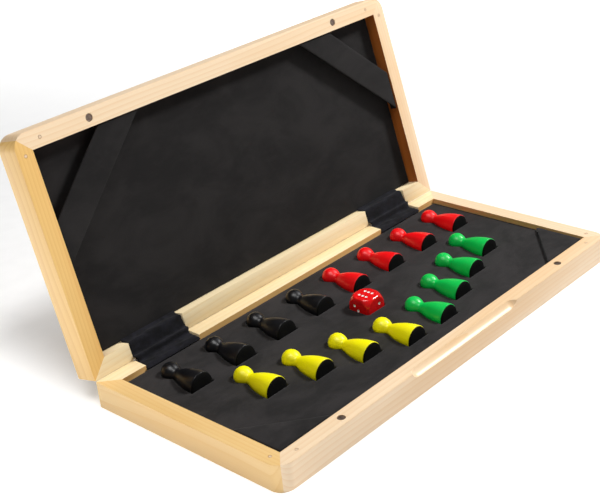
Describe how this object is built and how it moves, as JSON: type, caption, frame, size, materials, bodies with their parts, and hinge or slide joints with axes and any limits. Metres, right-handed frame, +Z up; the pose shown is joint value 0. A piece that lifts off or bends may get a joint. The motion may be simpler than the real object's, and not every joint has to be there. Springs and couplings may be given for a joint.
{
  "type": "folding game board box",
  "caption": "Hinged wooden games case, open: suede tray with fitted recesses for pawns and a die, lined lid with corner straps, magnetic closure.",
  "frame": {"origin": "middle of the case's underside", "axes": "+X along the case to the right, -Y to the front, +Z up"},
  "size_m": [0.35, 0.2218, 0.1777],
  "materials": {
    "case_wood": "clear satin lacquer over pale softwood",
    "suede": "napped microfibre suede",
    "foam": "dense foam",
    "velvet": "velvet",
    "magnet": "nickel plated",
    "pin_wood": "end grain",
    "hinge_steel": "zinc plated",
    "die_red": "gloss",
    "foot_felt": "felt",
    "black_paint": "gloss lacquer",
    "red_paint": "gloss lacquer",
    "yellow_paint": "gloss lacquer",
    "green_paint": "gloss lacquer"
  },
  "bodies": {
    "base": {"base_front_rail": "case_wood", "base_rear_rail": "case_wood", "base_left_rail": "case_wood", "base_right_rail": "case_wood", "base_panel": "case_wood", "tray_foam": "foam", "tray_suede": "suede", "corner_pads": "suede", "base_magnets": "magnet", "base_corner_pins": "pin_wood", "hinge_base_leaves": "hinge_steel", "hinge_pins": "hinge_steel", "hinge_base_screws": "hinge_steel", "hinge_base_covers": "velvet"},
    "lid": {"lid_front_rail": "case_wood", "lid_rear_rail": "case_wood", "lid_left_rail": "case_wood", "lid_right_rail": "case_wood", "lid_panel": "case_wood", "lid_liner": "suede", "corner_straps": "suede", "lid_magnets": "magnet", "lid_corner_pins": "pin_wood", "hinge_lid_leaves": "hinge_steel", "hinge_lid_screws": "hinge_steel", "hinge_lid_covers": "velvet"},
    "dice": {"die": "die_red"},
    "black_1": {"black_pawn_1": "black_paint", "black_pawn_felt_1": "foot_felt"},
    "black_2": {"black_pawn_2": "black_paint", "black_pawn_felt_2": "foot_felt"},
    "black_3": {"black_pawn_3": "black_paint", "black_pawn_felt_3": "foot_felt"},
    "black_4": {"black_pawn_4": "black_paint", "black_pawn_felt_4": "foot_felt"},
    "red_1": {"red_pawn_1": "red_paint", "red_pawn_felt_1": "foot_felt"},
    "red_2": {"red_pawn_2": "red_paint", "red_pawn_felt_2": "foot_felt"},
    "red_3": {"red_pawn_3": "red_paint", "red_pawn_felt_3": "foot_felt"},
    "red_4": {"red_pawn_4": "red_paint", "red_pawn_felt_4": "foot_felt"},
    "yellow_1": {"yellow_pawn_1": "yellow_paint", "yellow_pawn_felt_1": "foot_felt"},
    "yellow_2": {"yellow_pawn_2": "yellow_paint", "yellow_pawn_felt_2": "foot_felt"},
    "yellow_3": {"yellow_pawn_3": "yellow_paint", "yellow_pawn_felt_3": "foot_felt"},
    "yellow_4": {"yellow_pawn_4": "yellow_paint", "yellow_pawn_felt_4": "foot_felt"},
    "green_1": {"green_pawn_1": "green_paint", "green_pawn_felt_1": "foot_felt"},
    "green_2": {"green_pawn_2": "green_paint", "green_pawn_felt_2": "foot_felt"},
    "green_3": {"green_pawn_3": "green_paint", "green_pawn_felt_3": "foot_felt"},
    "green_4": {"green_pawn_4": "green_paint", "green_pawn_felt_4": "foot_felt"}
  },
  "joints": [
    {"name": "lid_hinge", "type": "hinge", "parent": "base", "child": "lid", "pos_m": [0, 0.082, 0.01865], "axis": [-1, 0, 0], "range_deg": [-104, 0]},
    {"name": "dice_lift", "type": "slide", "parent": "base", "child": "dice", "axis": [0, 0, 1], "range_m": [0, 0.03]},
    {"name": "black_1_lift", "type": "slide", "parent": "base", "child": "black_1", "axis": [0, 0, 1], "range_m": [0, 0.03]},
    {"name": "black_2_lift", "type": "slide", "parent": "base", "child": "black_2", "axis": [0, 0, 1], "range_m": [0, 0.03]},
    {"name": "black_3_lift", "type": "slide", "parent": "base", "child": "black_3", "axis": [0, 0, 1], "range_m": [0, 0.03]},
    {"name": "black_4_lift", "type": "slide", "parent": "base", "child": "black_4", "axis": [0, 0, 1], "range_m": [0, 0.03]},
    {"name": "red_1_lift", "type": "slide", "parent": "base", "child": "red_1", "axis": [0, 0, 1], "range_m": [0, 0.03]},
    {"name": "red_2_lift", "type": "slide", "parent": "base", "child": "red_2", "axis": [0, 0, 1], "range_m": [0, 0.03]},
    {"name": "red_3_lift", "type": "slide", "parent": "base", "child": "red_3", "axis": [0, 0, 1], "range_m": [0, 0.03]},
    {"name": "red_4_lift", "type": "slide", "parent": "base", "child": "red_4", "axis": [0, 0, 1], "range_m": [0, 0.03]},
    {"name": "yellow_1_lift", "type": "slide", "parent": "base", "child": "yellow_1", "axis": [0, 0, 1], "range_m": [0, 0.03]},
    {"name": "yellow_2_lift", "type": "slide", "parent": "base", "child": "yellow_2", "axis": [0, 0, 1], "range_m": [0, 0.03]},
    {"name": "yellow_3_lift", "type": "slide", "parent": "base", "child": "yellow_3", "axis": [0, 0, 1], "range_m": [0, 0.03]},
    {"name": "yellow_4_lift", "type": "slide", "parent": "base", "child": "yellow_4", "axis": [0, 0, 1], "range_m": [0, 0.03]},
    {"name": "green_1_lift", "type": "slide", "parent": "base", "child": "green_1", "axis": [0, 0, 1], "range_m": [0, 0.03]},
    {"name": "green_2_lift", "type": "slide", "parent": "base", "child": "green_2", "axis": [0, 0, 1], "range_m": [0, 0.03]},
    {"name": "green_3_lift", "type": "slide", "parent": "base", "child": "green_3", "axis": [0, 0, 1], "range_m": [0, 0.03]},
    {"name": "green_4_lift", "type": "slide", "parent": "base", "child": "green_4", "axis": [0, 0, 1], "range_m": [0, 0.03]}
  ]
}
